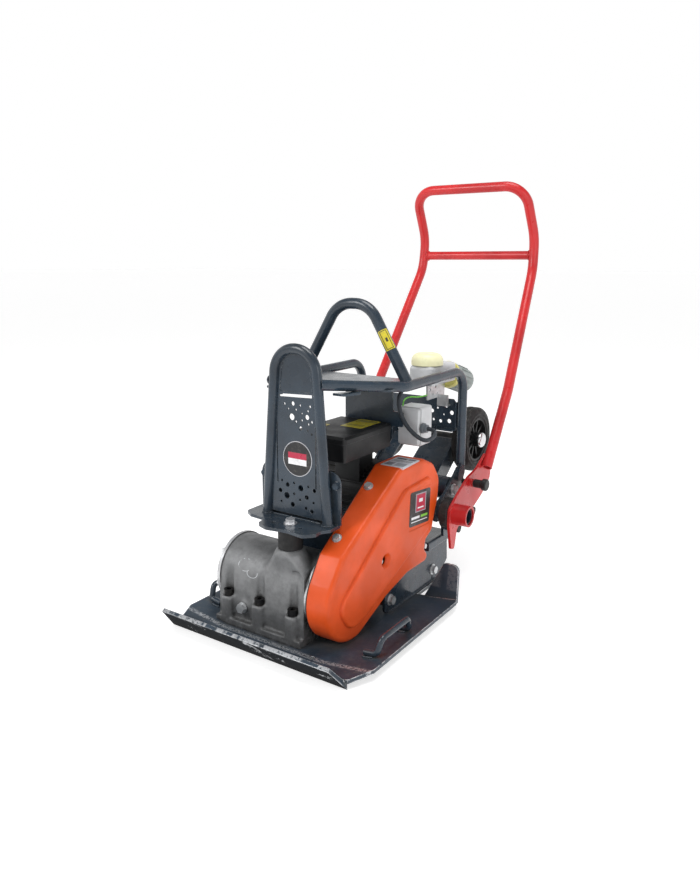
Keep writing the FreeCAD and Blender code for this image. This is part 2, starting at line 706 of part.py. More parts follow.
def rear_panel(rail_pair):
    half = dim("rail_half") - 13
    y = dim("leg_y")
    outline = [(-half, 343), (half, 343), (half, 404), (half - 8, 414), (-half + 8, 414), (-half, 404)]
    holes = []
    for side in (1, -1):
        for x, z, radius in ((96, 396, 3.5), (74, 390, 2.5), (110, 382, 5), (90, 376, 2), (60, 382, 4.5),
                             (104, 362, 5), (82, 360, 4), (64, 362, 3), (46, 372, 4), (30, 388, 4)):
            holes.append((side * x, z, radius))
    panel = slab("XZ", outline, [0, 0, 3, 3, 3, 3], y - 1.5, 3, holes)
    flange = box((-half, y - 24, 343), (half, y - 1.5, 346))
    straps = [box((side * (half + 1.3) - 1.4, y - 9, 350), (side * (half + 1.3) + 1.4, y + 9, 408))
              for side in (1, -1)]
    feature("rear_panel", join([panel, flange] + straps).cut(rail_pair))


# ---------------------------------------------------------------- electrics

def control_box():
    x_low, x_high, y_low, y_high = -64, 65, 2, 178
    floor, seam, top = 338, 374, 388
    outer = slab("XY", [(x_low, y_low), (x_high, y_low), (x_high, y_high), (x_low, y_high)], 6,
                 floor, seam - floor)
    inner = slab("XY", [(x_low + 3, y_low + 3), (x_high - 3, y_low + 3), (x_high - 3, y_high - 3),
                        (x_low + 3, y_high - 3)], 4, floor + 3, seam - floor)
    feature("control_box", outer.cut(inner))
    lid = slab("XY", [(x_low - 2, y_low - 2), (x_high + 2, y_low - 2), (x_high + 2, y_high + 2),
                      (x_low - 2, y_high + 2)], 8, seam, top - seam)
    rim = [edge for edge in lid.Edges if edge.BoundBox.ZMin > top - 0.01]
    lid = lid.makeChamfer(5, rim)
    hollow = slab("XY", [(x_low + 3, y_low + 3), (x_high - 3, y_low + 3), (x_high - 3, y_high - 3),
                         (x_low + 3, y_high - 3)], 4, seam, top - seam - 5)
    feature("control_box_lid", lid.cut(hollow))


SWITCH_Y = (200, 254)
BUTTONS = (("start_button", 396), ("stop_button", 362))


def switch_box():
    body = slab("XZ", [(66, 337), (120, 337), (120, 420), (66, 420)], 5,
                SWITCH_Y[0] + 8, SWITCH_Y[1] - SWITCH_Y[0] - 8)
    lid = slab("XZ", [(68, 339), (118, 339), (118, 418), (68, 418)], 5, SWITCH_Y[0], 8)
    rim = [edge for edge in lid.Edges if edge.BoundBox.YMax < SWITCH_Y[0] + 0.01]
    shell = body.fuse(lid.makeChamfer(2.5, rim))
    shell = shell.cut(box((70, SWITCH_Y[0] + 4, 341), (116, SWITCH_Y[1] - 4, 416)))
    for label, z in BUTTONS:
        shell = shell.cut(disc("Y", (93, SWITCH_Y[1] - 6, z), 9.5, 10))
    shell = shell.fuse(box((72, 193, 384), (82, SWITCH_Y[0], 404)))
    feature("switch_box", shell)
    for label, z in BUTTONS:
        cap = disc("Y", (93, SWITCH_Y[1] - 2, z), 9.4, 9)
        flange = disc("Y", (93, SWITCH_Y[1] - 6, z), 9.4, 4)
        feature(label, join([cap, flange]))
    gland = join([hexagon("X", (120, 212, 377), 20, 6), disc("X", (126, 212, 377), 8.6, 7)])
    feature("cable_gland", gland)


CABLE_POINTS = [(133, 212, 377), (152, 212, 377), (157, 196, 364), (142, 183, 356), (114, 181, 371),
                (93, 181, 393), (79, 182, 424), (76, 190, 448), (78, 212, 462), (80, 241, 466),
                (80, 269.9, 466)]
WIRE_POINTS = [(74, 210, 420), (74, 210, 433), (74, 240, 436), (80.5, 270, 430), (80.5, 303.9, 430)]


def cord(label, points, diameter):
    """A held cable: each arc's radius is 0.45 of the shorter run over the tangent of half the turn."""
    path = [Vector(*p) for p in points]
    rounds = [0]
    length = 0
    for before, here, after in zip(path, path[1:], path[2:]):
        turn = (here - before).getAngle(after - here)
        reach = 0.45 * min((here - before).Length, (after - here).Length)
        rounds.append(reach / math.tan(turn / 2))
    rounds.append(0)
    solid = rod(points, rounds, diameter)
    for edge in wire(points, rounds).Edges:
        length += edge.Length
    expected = length * math.pi * diameter ** 2 / 4
    print(label, "arc radii", [round(r, 1) for r in rounds[1:-1]], "length", round(length, 1),
          "volume ratio", round(solid.Volume / expected, 4))
    feature(label, solid)


def inlet():
    """Power inlet on its bracket: moulded body, sprung cap on top, sealing ring towards the rear."""
    x = 80
    cap_y = 304
    bracket = slab("YZ", [(304, 418), (388, 418), (388, 459), (304, 459)], [4, 4, 0, 0], x - 1, 3,
                   [(316, 440, 4), (332, 428, 2.5), (344, 444, 3.5), (352, 428, 2.5)])
    shelf = box((52, 274, 456), (108, 388, 459))
    foot = box((x - 1, 358, 398), (106, 362, 424)).fuse(box((94, 362, 398), (106, 371.5, 402)))
    feature("inlet_bracket", join([bracket, shelf, foot]))
    top = 498
    hinge = Vector(x - 12, cap_y + 41, top + 8)
    block = slab("XY", [(50, 270), (110, 270), (110, 394), (50, 394)], 14, 459, top - 459)
    rim = [edge for edge in block.Edges if edge.BoundBox.ZMin > top - 0.1]
    block = block.makeFillet(8, rim)
    block = block.cut(disc("Z", (x, cap_y, 468), 25, 40))
    pins = [disc("Z", (x + 12 * math.cos(turn), cap_y + 12 * math.sin(turn), 467), 3, 24)
            for turn in (math.pi / 2, math.pi * 7 / 6, math.pi * 11 / 6)]
    lug = box((x - 12, cap_y + 38, top - 6), (x + 12, cap_y + 44, top + 4))
    block = block.fuse(lug).cut(disc("X", (x - 20, hinge.y, hinge.z), 6, 40))
    feature("inlet_body", join([block] + pins))
    collar = disc("Y", (x, 394, 466), 31, 16)
    ring = disc("Y", (x, 410, 466), 29, 74)
    ring = ring.cut(disc("Y", (x, 440, 466), 24, 60))
    for step in range(14):
        rib = box((x - 1.5, 424, 494), (x + 1.5, 474, 497))
        rib.rotate(Vector(x, 410, 466), AXIS["Y"], 360 / 14 * step)
        ring = ring.fuse(rib)
    outlet = [collar, ring.removeSplitter()]
    for solid in outlet:
        solid.rotate(Vector(x, 394, 466), AXIS["X"], -17)
        solid.translate(Vector(0, 7, 0))
    outlet[0] = outlet[0].cut(block)
    feature("inlet_shroud", [outlet[0].cut(outlet[1]), outlet[1].cut(block)])
    lid = disc("Z", (x, cap_y, top + 0.5), 35, 26)
    rim = [edge for edge in lid.Edges if edge.BoundBox.ZMin > top + 26]
    lid = lid.makeFillet(17, rim)
    lid = lid.cut(disc("Z", (x, cap_y, top + 0.5), 27, 10))
    barrel = disc("X", (x - 14, hinge.y, hinge.z), 4.5, 28)
    strap = box((x - 8, cap_y + 26, top + 5), (x + 8, cap_y + 42, top + 11))
    feature("inlet_cap", join([lid, strap, barrel]))


# ---------------------------------------------------------------- handle

def handle():
    size = dim("handle_tube_size")
    wall = dim("tube_wall")
    start = Vector(185, 409, 256)
    side = [tuple(start), (179, 530, 418), (157, 715, 703), (155, 722, 780), (150, 654, 901)]
    points = side + [(-x, y, z) for x, y, z in reversed(side)]
    rounds = [0, 260, 110, 90, 54, 54, 90, 110, 260, 0]
    outer = rod(points, rounds, size)
    inner = rod(points, rounds, size - 2 * wall)
    bar = rod([(-154, 721, 736), (154, 721, 736)], 0, size - 2)
    frame = outer.cut(inner).fuse(bar.cut(outer))
    frame = frame.cut(rod([(-140, 721, 736), (140, 721, 736)], 0, size - 2 - 2 * wall))
    feature("handle_tube", frame)
    x = dim("handle_plate_x")
    y = dim("pivot_y")
    z = dim("pivot_z")
    inner_bore = dim("boss_inner")
    outline = [(249, 196), (289, 222), (339, 248), (383, 257), (430, 284), (462, 262), (458, 219),
               (414, 189), (374, 172), (306, 152), (286, 140), (275, 99), (260, 102), (247, 164)]
    plate = slab("YZ", outline, [14, 30, 30, 30, 8, 10, 20, 40, 60, 12, 12, 5, 5, 40], x, 6)
    boss = disc("X", (x, y, z), dim("boss_outer"), 209 - x)
    plate = plate.fuse(boss).cut(disc("X", (x - 5, y, z), inner_bore, 60))
    plate = plate.cut(disc("X", (x - 5, dim("plunger_y"), dim("plunger_z")), 6.1, 20))
    barrel = disc("X", (x + 6, dim("plunger_y"), dim("plunger_z")), 9, 4, 6.1)
    plate = plate.fuse(barrel).cut(outer)
    plate = max(plate.Solids, key=lambda solid: solid.Volume)
    feature("handle_plates", [plate, mirrored(plate)])


def pivot_tube():
    """Stub tubes welded through the side brackets; the handle's bosses turn on them."""
    gap = dim("running_gap")
    low = dim("bracket_x") - 6
    stub = disc("X", (low, dim("pivot_y"), dim("pivot_z")), dim("boss_inner") - gap,
                dim("pivot_end") - low, 15)
    feature("pivot_tube", [stub, mirrored(stub)])


def side_brackets():
    x = dim("bracket_x")
    outline = [(251.5, 158), (251.5, 182), (258, 199), (300, 214), (345, 246), (362, 260), (388, 256),
               (392, 220), (400, 168), (386, 147), (364, 144), (344, 114), (296, 112), (290, 156)]
    bore = dim("boss_inner") - dim("running_gap")
    holes = [(dim("pivot_y"), dim("pivot_z"), bore), (dim("carriage_y"), dim("carriage_z"), 8)]
    plate = slab("YZ", outline, [10, 10, 10, 40, 30, 10, 12, 30, 16, 10, 20, 4, 4, 20], x, 6, holes)
    feature("side_brackets", [plate, mirrored(plate)])
    pads = []
    for y, z, radius in ((391, 152, 10), (316, 132, 10)):
        pad = disc("X", (x + 6, y, z), radius, 29)
        pads += [pad, mirrored(pad)]
    washer = disc("X", (150, dim("pivot_y"), dim("pivot_z")), 34, 16.4, bore)
    pads += [washer, mirrored(washer)]
    feature("stop_buffers", pads)


def plungers():
    x = dim("handle_plate_x")
    y = dim("plunger_y")
    z = dim("plunger_z")
    pin = disc("X", (x - 18, y, z), 6, 31)
    knob = disc("X", (x + 12, y, z), 9.5, 22)
    crown = disc("X", (x + 31, y, z), dim("knob_radius"), 12)
    rim = [edge for edge in crown.Edges if abs(edge.BoundBox.XMin - edge.BoundBox.XMax) < 0.01]
    crown = crown.makeFillet(3, rim)
    shape = join([pin, knob, crown])
    feature("plunger_right", shape)
    feature("plunger_left", mirrored(shape))


# ---------------------------------------------------------------- transport wheels

def carriage():
    y = dim("carriage_y")
    z = dim("carriage_z")
    axle = Vector(0, dim("axle_y"), dim("axle_z"))
    reach = dim("bracket_x") - 2
    hub = disc("X", (-reach, y, z), 26, 2 * reach, 22)
    for x in (-reach, reach - 6):
        hub = hub.fuse(disc("X", (x, y, z), 24, 6, 8.1))
    arm = slab("YZ", [(y - 4, z + 14), (y + 22, z - 20), (axle.y + 10, axle.z - 18),
                      (axle.y + 16, axle.z + 12), (axle.y - 12, axle.z + 22)],
               [10, 14, 14, 12, 14], 84, 5)
    arm = arm.cut(disc("X", (80, axle.y, axle.z), dim("axle_radius"), 20))
    arm = arm.cut(disc("X", (80, y, z), 24, 20))
    web = box((4, 0, 0), (84, 108, 4)).fuse(box((-84, 0, 0), (-50, 108, 4)))
    web.rotate(Vector(0, 0, 0), AXIS["X"], math.degrees(math.atan2(axle.z - z, axle.y - y)))
    web.translate(Vector(0, y + 26, z + 24))
    feature("wheel_carriage", join([hub, arm, mirrored(arm), web]))
    end = 144
    caps = []
    for side in (1, -1):
        cap = disc("X", (end - 4, axle.y, axle.z), 18, 8)
        rim = [edge for edge in cap.Edges if edge.BoundBox.XMin > end + 3]
        cap = cap.makeFillet(7, rim)
        cap = cap.cut(disc("X", (end - 5, axle.y, axle.z), dim("axle_radius"), 5))
        caps.append(cap if side > 0 else mirrored(cap))
    bar = disc("X", (-end, axle.y, axle.z), dim("axle_radius"), 2 * end)
    washers = [disc("X", (89.2, axle.y, axle.z), 12, 5.5, dim("axle_radius"))]
    washers.append(mirrored(washers[0]))
    feature("wheel_axle", join([bar] + caps + washers))


def wheels():
    y = dim("axle_y")
    z = dim("axle_z")
    low = dim("wheel_inner_x")
    width = dim("wheel_width")
    radius = dim("wheel_radius")
    rim_radius = 52
    tyre = disc("X", (low, y, z), radius, width)
    edges = [edge for edge in tyre.Edges if abs(edge.BoundBox.XMin - edge.BoundBox.XMax) < 0.01]
    tyre = tyre.makeFillet(8, edges)
    tyre = tyre.cut(disc("X", (low, y, z), rim_radius, width))
    tyre = tyre.cut(disc("X", (low + width / 2 - 4, y, z), rim_radius + 3, 8))
    rim = disc("X", (low + 3, y, z), rim_radius, width - 6, rim_radius - 5)
    rim = rim.fuse(disc("X", (low + width / 2 - 4, y, z), rim_radius + 3, 8, rim_radius - 5))
    hub = disc("X", (low, y, z), 17, width + 2)
    spokes = [rim, hub]
    for step in range(10):
        spoke = box((low + 12, y + 12, z - 2.5), (low + 30, y + rim_radius - 3, z + 2.5))
        spoke.rotate(Vector(0, y, z), AXIS["X"], 36 * step)
        spokes.append(spoke)
    web = disc("X", (low + 19, y, z), rim_radius - 2, 3)
    rim = join(spokes + [web]).cut(disc("X", (0, y, z), dim("axle_radius") + dim("running_gap"), 200))
    feature("tyre_right", tyre)
    feature("tyre_left", mirrored(tyre))
    feature("rim_right", rim)
    feature("rim_left", mirrored(rim))


def frame_bolts():
    bolts = [bolt("Z", (8, -97, dim("front_deck_z") + dim("deck_thick")), 1, 17, 8, 2, 5.9, 5.9)]
    for x in (-60, 0, 60):
        bolts.append(bolt("Z", (x, 60, dim("rail_z")), 1, 13, 6, 1.5, 4.9, 8))
    pivot = disc("X", (118, dim("carriage_y"), dim("carriage_z")), 8, 18)
    head = bolt("X", (dim("bracket_x") + 6, dim("carriage_y"), dim("carriage_z")), 1, 17, 7, 2, 7.9, 4)
    pivot = join([pivot, head])
    bolts += [pivot, mirrored(pivot)]
    bolts += [bolt("Y", (side, -55, 311), -1, 11, 6, 1.5, 3.9, 2.9) for side in (-86, 86)]
    feature("frame_bolts", bolts)


def make_all():
    base_plate()
    side_ribs()
    plate_handles()
    exciter_housing()
    exciter_covers()
    housing_bolts()
    drain_plug()
    exciter_bearings()
    eccentric_shaft()
    pulleys()
    v_belt()
    belt_guard()
    guard_backplate()
    motor()
    front_mount()
    rear_mounts()
    chassis_deck()
    front_gusset()
    hoop = front_hoop()
    rail_pair = rails(hoop)
    loop = lifting_loop(rail_pair)
    cross_plate(rail_pair, loop)
    bulkhead()
    rear_panel(rail_pair)
    control_box()
    switch_box()
    cord("power_cable", CABLE_POINTS, dim("cable_size"))
    cord("earth_wire", WIRE_POINTS, dim("wire_size"))
    inlet()
    handle()
    pivot_tube()
    side_brackets()
    plungers()
    carriage()
    wheels()
    frame_bolts()


make_all()
doc.recompute()

for item in doc.Objects:
    if "Invalid" in item.State or "Error" in item.State:
        raise SystemExit("failed object: " + item.Label)
os.makedirs("parts", exist_ok=True)
for item in nodes:
    shape = item.Shape
    if shape.isNull() or not shape.isValid() or not shape.Solids:
        raise SystemExit("bad shape: " + item.Label)
    shape.exportStep("parts/%s.step" % item.Label)
print(len(nodes), "nodes written")
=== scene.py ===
import json
import math

import bmesh
import bpy
from mathutils import Matrix, Vector
from mathutils.bvhtree import BVHTree


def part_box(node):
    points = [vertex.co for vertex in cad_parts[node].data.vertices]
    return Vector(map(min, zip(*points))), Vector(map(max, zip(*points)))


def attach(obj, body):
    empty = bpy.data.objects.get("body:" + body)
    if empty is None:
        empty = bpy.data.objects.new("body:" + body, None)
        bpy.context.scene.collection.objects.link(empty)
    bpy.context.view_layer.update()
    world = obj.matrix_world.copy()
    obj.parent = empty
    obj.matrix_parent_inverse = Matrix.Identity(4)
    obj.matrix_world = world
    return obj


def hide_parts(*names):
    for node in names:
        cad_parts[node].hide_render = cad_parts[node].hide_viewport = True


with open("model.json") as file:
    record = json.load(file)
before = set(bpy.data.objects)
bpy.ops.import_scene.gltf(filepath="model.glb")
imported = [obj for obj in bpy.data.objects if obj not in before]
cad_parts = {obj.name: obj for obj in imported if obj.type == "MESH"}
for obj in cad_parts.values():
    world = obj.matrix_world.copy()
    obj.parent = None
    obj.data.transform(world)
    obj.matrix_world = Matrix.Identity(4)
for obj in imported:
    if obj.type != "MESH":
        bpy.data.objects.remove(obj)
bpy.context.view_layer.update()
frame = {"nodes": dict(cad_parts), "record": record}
nodes = frame["nodes"]
MM = 0.001


def linear(red, green, blue):
    """A display colour, 0 to 255, as scene-linear RGBA."""
    def channel(value):
        value /= 255
        return value / 12.92 if value <= 0.04045 else ((value + 0.055) / 1.055) ** 2.4
    return (channel(red), channel(green), channel(blue), 1)


# ---------------------------------------------------------------- material graphs

class Graph:
    """A node material built up from small reusable steps."""

    def __init__(self, name):
        self.material = bpy.data.materials.new(name)
        self.material.use_nodes = True
        self.tree = self.material.node_tree
        self.shader = self.tree.nodes["Principled BSDF"]
        self.place = self.add("ShaderNodeTexCoord").outputs["Object"]
        self.height = None

    def add(self, kind, **settings):
        node = self.tree.nodes.new(kind)
        for key, value in settings.items():
            setattr(node, key, value)
        return node

    def feed(self, socket, value):
        if isinstance(value, bpy.types.NodeSocket):
            self.tree.links.new(value, socket)
        else:
            socket.default_value = value

    def set(self, name, value):
        self.feed(self.shader.inputs[name], value)

    def stretched(self, factors):
        node = self.add("ShaderNodeMapping")
        self.feed(node.inputs["Vector"], self.place)
        node.inputs["Scale"].default_value = factors
        return node.outputs["Vector"]

    def noise(self, scale, detail=4, roughness=0.55, stretch=None, distortion=0):
        node = self.add("ShaderNodeTexNoise")
        self.feed(node.inputs["Vector"], self.stretched(stretch) if stretch else self.place)
        for key, value in (("Scale", scale), ("Detail", detail), ("Roughness", roughness),
                           ("Distortion", distortion)):
            node.inputs[key].default_value = value
        return node.outputs["Fac"]

    def cells(self, scale, feature="F1"):
        node = self.add("ShaderNodeTexVoronoi", feature=feature)
        self.feed(node.inputs["Vector"], self.place)
        node.inputs["Scale"].default_value = scale
        return node.outputs["Distance"]

    def step(self, value, low, high, out_low=0.0, out_high=1.0):
        node = self.add("ShaderNodeMapRange", clamp=True, interpolation_type="SMOOTHSTEP")
        for key, item in (("Value", value), ("From Min", low), ("From Max", high),
                          ("To Min", out_low), ("To Max", out_high)):
            self.feed(node.inputs[key], item)
        return node.outputs["Result"]

    def calc(self, operation, first, second=0.5):
        node = self.add("ShaderNodeMath", operation=operation, use_clamp=False)
        self.feed(node.inputs[0], first)
        self.feed(node.inputs[1], second)
        return node.outputs[0]

    def mix(self, factor, first, second):
        node = self.add("ShaderNodeMix", data_type="RGBA")
        self.feed(node.inputs["Factor"], factor)
        self.feed(node.inputs["A"], first)
        self.feed(node.inputs["B"], second)
        return node.outputs["Result"]

    def axis(self, name):
        node = self.add("ShaderNodeSeparateXYZ")
        self.feed(node.inputs[0], self.place)
        return node.outputs[name]

    def facing_up(self):
        node = self.add("ShaderNodeSeparateXYZ")
        self.feed(node.inputs[0], self.add("ShaderNodeNewGeometry").outputs["Normal"])
        return node.outputs["Z"]

    def edges(self, radius=0.0016, low=0.995, high=0.86):
        """1 along sharp edges, 0 on flat and gently curved faces."""
        rounded = self.add("ShaderNodeBevel", samples=6)
        rounded.inputs["Radius"].default_value = radius
        dot = self.add("ShaderNodeVectorMath", operation="DOT_PRODUCT")
        self.feed(dot.inputs[0], rounded.outputs["Normal"])
        self.feed(dot.inputs[1], self.add("ShaderNodeNewGeometry").outputs["Normal"])
        return self.step(dot.outputs["Value"], high, low, 1.0, 0.0)

    def hollows(self, distance=0.02):
        """1 deep in corners and gaps, 0 on open faces."""
        node = self.add("ShaderNodeAmbientOcclusion", samples=8)
        node.inputs["Distance"].default_value = distance
        return self.step(node.outputs["AO"], 0.25, 0.95, 1.0, 0.0)

    def bump(self, height, depth, soft_edge=0.0008):
        """Adds a layer of relief; depth is in metres."""
        node = self.add("ShaderNodeBump")
        node.inputs["Strength"].default_value = 1
        node.inputs["Distance"].default_value = depth
        self.feed(node.inputs["Height"], height)
        if self.height is not None:
            self.feed(node.inputs["Normal"], self.height)
        elif soft_edge:
            rounded = self.add("ShaderNodeBevel", samples=6)
            rounded.inputs["Radius"].default_value = soft_edge
            self.feed(node.inputs["Normal"], rounded.outputs["Normal"])
        self.height = node.outputs["Normal"]
        self.set("Normal", self.height)

    def patch(self, low_u, low_v, high_u, high_v):
        """1 inside a rectangle of the piece's own map."""
        node = self.add("ShaderNodeSeparateXYZ")
        self.feed(node.inputs[0], self.add("ShaderNodeTexCoord").outputs["UV"])
        mask = 1.0
        for axis, low, high in (("X", low_u, high_u), ("Y", low_v, high_v)):
            above = self.calc("GREATER_THAN", node.outputs[axis], low)
            below = self.calc("LESS_THAN", node.outputs[axis], high)
            mask = self.calc("MULTIPLY", self.calc("MULTIPLY", above, below), mask)
        return mask


def painted(name, colour, dark, dust, chip, roughness=0.32, wear=0.5, dirt=0.5, coat=0.3):
    """Sprayed paint: slight orange peel, fading, dust in the corners, chips on the edges."""
    g = Graph(name)
    fade = g.step(g.noise(9, 3), 0.35, 0.7)
    tone = g.mix(fade, colour, dark)
    fine = g.noise(60, 6, 0.65)
    dusty = g.calc("MULTIPLY", g.step(fine, 0.42, 0.72), g.step(g.facing_up(), 0.1, 0.9, 0.15, 1))
    corner = g.calc("MULTIPLY", g.hollows(), g.step(g.noise(35, 5), 0.3, 0.65))
    film = g.calc("MULTIPLY", g.calc("MAXIMUM", dusty, corner), dirt)
    tone = g.mix(film, tone, dust)
    scuff = g.step(g.noise(140, 8, 0.7), 0.5, 0.62)
    worn = g.calc("MULTIPLY", g.calc("MULTIPLY", g.edges(), scuff), wear)
    spots = g.step(g.noise(230, 4, 0.6), 0.735, 0.755, 0, wear)
    bare = g.calc("MAXIMUM", worn, spots)
    g.set("Base Color", g.mix(bare, tone, chip))
    rough = g.calc("ADD", g.step(g.noise(26, 5), 0.3, 0.7, roughness - 0.06, roughness + 0.1),
                   g.calc("MULTIPLY", film, 0.35))
    g.set("Roughness", rough)
    g.set("Metallic", g.calc("MULTIPLY", bare, 0.7))
    g.set("Specular IOR Level", 0.36)
    g.set("Coat Weight", coat)
    g.set("Coat Roughness", 0.12)
    g.bump(g.noise(420, 2, 0.4), 0.00008)
    g.bump(g.calc("SUBTRACT", 1.0, bare), 0.0001)
    return g.material


def moulded(name, colour, dust, roughness=0.45, dirt=0.4, grain=900, coat=0.0, relief=0.00006, wear=0.25,
            scuffed=None, soft=0.0008):
    """Moulded plastic with a fine grain, scuffs and settled dust."""
    g = Graph(name)
    pale = tuple(min(1, part * 1.25 + 0.01) for part in colour[:3]) + (1,)
    tone = g.mix(g.step(g.noise(12, 4), 0.35, 0.7), colour, pale)
    film = g.calc("MULTIPLY", g.calc("MAXIMUM", g.calc("MULTIPLY", g.hollows(0.015), 0.9),
                                     g.step(g.noise(48, 7, 0.65), 0.5, 0.8)), dirt)
    tone = g.mix(film, tone, dust)
    patchy = g.step(g.noise(120, 7, 0.7), 0.42, 0.6)
    rub = g.calc("MULTIPLY", g.calc("MULTIPLY", g.edges(0.0022), patchy), wear)
    g.set("Base Color", g.mix(rub, tone, scuffed or pale))
    g.set("Roughness", g.calc("ADD", g.step(g.noise(30, 4), 0.3, 0.7, roughness - 0.05, roughness + 0.08),
                              g.calc("MULTIPLY", film, 0.3)))
    g.set("Specular IOR Level", 0.32)
    g.set("Coat Weight", coat)
    g.set("Coat Roughness", 0.15)
    g.bump(g.noise(grain, 3, 0.6), relief, soft)
    scratch = g.step(g.noise(220, 3, 0.5, stretch=(1, 0.12, 0.5), distortion=0.6), 0.68, 0.72)
    g.bump(g.calc("SUBTRACT", 1.0, scratch), 0.000015)
    return g.material


def bare_metal(name, colour, stain, roughness, tarnish=0.4):
    """Plated or machined steel with tarnish and fine marks."""
    g = Graph(name)
    cloud = g.step(g.noise(70, 6, 0.6), 0.42, 0.72)
    film = g.calc("MAXIMUM", g.calc("MULTIPLY", cloud, tarnish), g.calc("MULTIPLY", g.hollows(0.003), 0.5))
    g.set("Base Color", g.mix(film, colour, stain))
    g.set("Metallic", g.step(film, 0, 1, 0.8, 0.3))
    g.set("Roughness", g.calc("ADD", g.step(g.noise(150, 5), 0.3, 0.7, roughness - 0.08, roughness + 0.1),
                              g.calc("MULTIPLY", film, 0.3)))
    g.bump(g.noise(260, 3, 0.5, stretch=(1, 1, 1)), 0.00001, 0)
    return g.material


def part_painted(name, axis, centre, reach, paint, shade, smoothest):
    """Bright metal, painted within a reach of one height or width."""
    g = Graph(name)
    off = g.calc("ABSOLUTE", g.calc("ADD", g.axis(axis), -centre))
    middle = g.step(off, reach - 0.0005, reach + 0.0005, 1.0, 0.0)
    cloud = g.step(g.noise(90, 6, 0.6), 0.5, 0.75, 0, 0.2)
    film = g.calc("MAXIMUM", cloud, g.calc("MULTIPLY", g.hollows(0.003), 0.4))
    bright = g.mix(film, linear(222, 222, 224), linear(120, 116, 110))
    dark = g.mix(g.step(g.noise(60, 6), 0.45, 0.7), paint, shade)
    g.set("Base Color", g.mix(middle, bright, dark))
    g.set("Metallic", g.step(middle, 0, 1, 0.85, 0.0))
    polish = g.step(g.noise(120, 5), 0.3, 0.7, smoothest, smoothest + 0.14)
    g.set("Roughness", g.calc("ADD", polish, g.calc("MULTIPLY", middle, 0.3)))
    g.bump(g.noise(260, 3, 0.5), 0.00001, 0)
    return g.material


CHALK_RINGS = ((-0.094, 0.132, 0.017), (-0.072, 0.121, 0.013))


def cast(name, colour, dark, grime):
    """Sand-cast aluminium: pebbled skin, darker mottling, oily splashes, oily dirt and painted shade in the
    corners, darker towards the bottom.
    """
    g = Graph(name)
    tone = g.mix(g.step(g.noise(55, 6, 0.65), 0.35, 0.7), colour, dark)
    splash = g.calc("MULTIPLY", g.step(g.noise(18, 7, 0.7), 0.52, 0.7), 0.28)
    # the casting turns darker towards its bottom, below about 6 cm height
    low = g.step(g.axis("Z"), 0.012, 0.06, 0.4, 0.0)
    # the corners turn near-black with oily dirt and painted shade; the splashes are oily dirt
    film = g.calc("MAXIMUM", g.calc("MAXIMUM", g.hollows(0.03), splash), low)
    film = g.calc("MULTIPLY", film, g.step(g.noise(90, 5), 0.25, 0.6))
    tone = g.mix(film, tone, grime)
    rub = g.calc("MULTIPLY", g.edges(0.002), g.step(g.noise(160, 5), 0.45, 0.6, 0, 0.6))
    for middle_x, middle_z, reach in CHALK_RINGS:
        across = g.calc("ADD", g.axis("X"), -middle_x)
        above = g.calc("MULTIPLY", g.calc("ADD", g.axis("Z"), -middle_z), 1.6)
        squares = g.calc("ADD", g.calc("MULTIPLY", across, across), g.calc("MULTIPLY", above, above))
        far = g.calc("SQRT", squares)
        line = g.step(g.calc("ABSOLUTE", g.calc("SUBTRACT", far, reach)), 0.0004, 0.0011, 0.75, 0.0)
        chalk = g.calc("MULTIPLY", line, g.step(g.noise(28, 4, 0.6), 0.49, 0.55))
        chalk = g.calc("MULTIPLY", chalk, g.step(g.axis("Y"), -0.1, -0.09, 1.0, 0.0))
        rub = g.calc("MAXIMUM", rub, chalk)
    g.set("Base Color", g.mix(rub, tone, linear(200, 202, 205)))
    g.set("Metallic", g.step(film, 0, 1, 0.55, 0.1))
    g.set("Roughness", g.calc("ADD", g.step(g.noise(40, 4), 0.3, 0.7, 0.42, 0.56),
                              g.calc("MULTIPLY", film, 0.3)))
    g.bump(g.noise(330, 4, 0.6), 0.00025, 0.005)
    g.bump(g.cells(520), 0.0001)
    return g.material


def rubber(name, colour, dust, roughness=0.62, dirt=0.35):
    """Dull black rubber with dust in its corners."""
    g = Graph(name)
    patchy = g.step(g.noise(70, 7, 0.7), 0.45, 0.75)
    film = g.calc("MULTIPLY", g.calc("MAXIMUM", g.hollows(0.008), patchy), dirt)
    g.set("Base Color", g.mix(film, colour, dust))
    g.set("Roughness", g.step(g.noise(90, 5), 0.3, 0.7, roughness - 0.08, roughness + 0.12))
    g.set("Specular IOR Level", 0.35)
    g.bump(g.noise(1100, 3, 0.6), 0.00006)
    return g.material


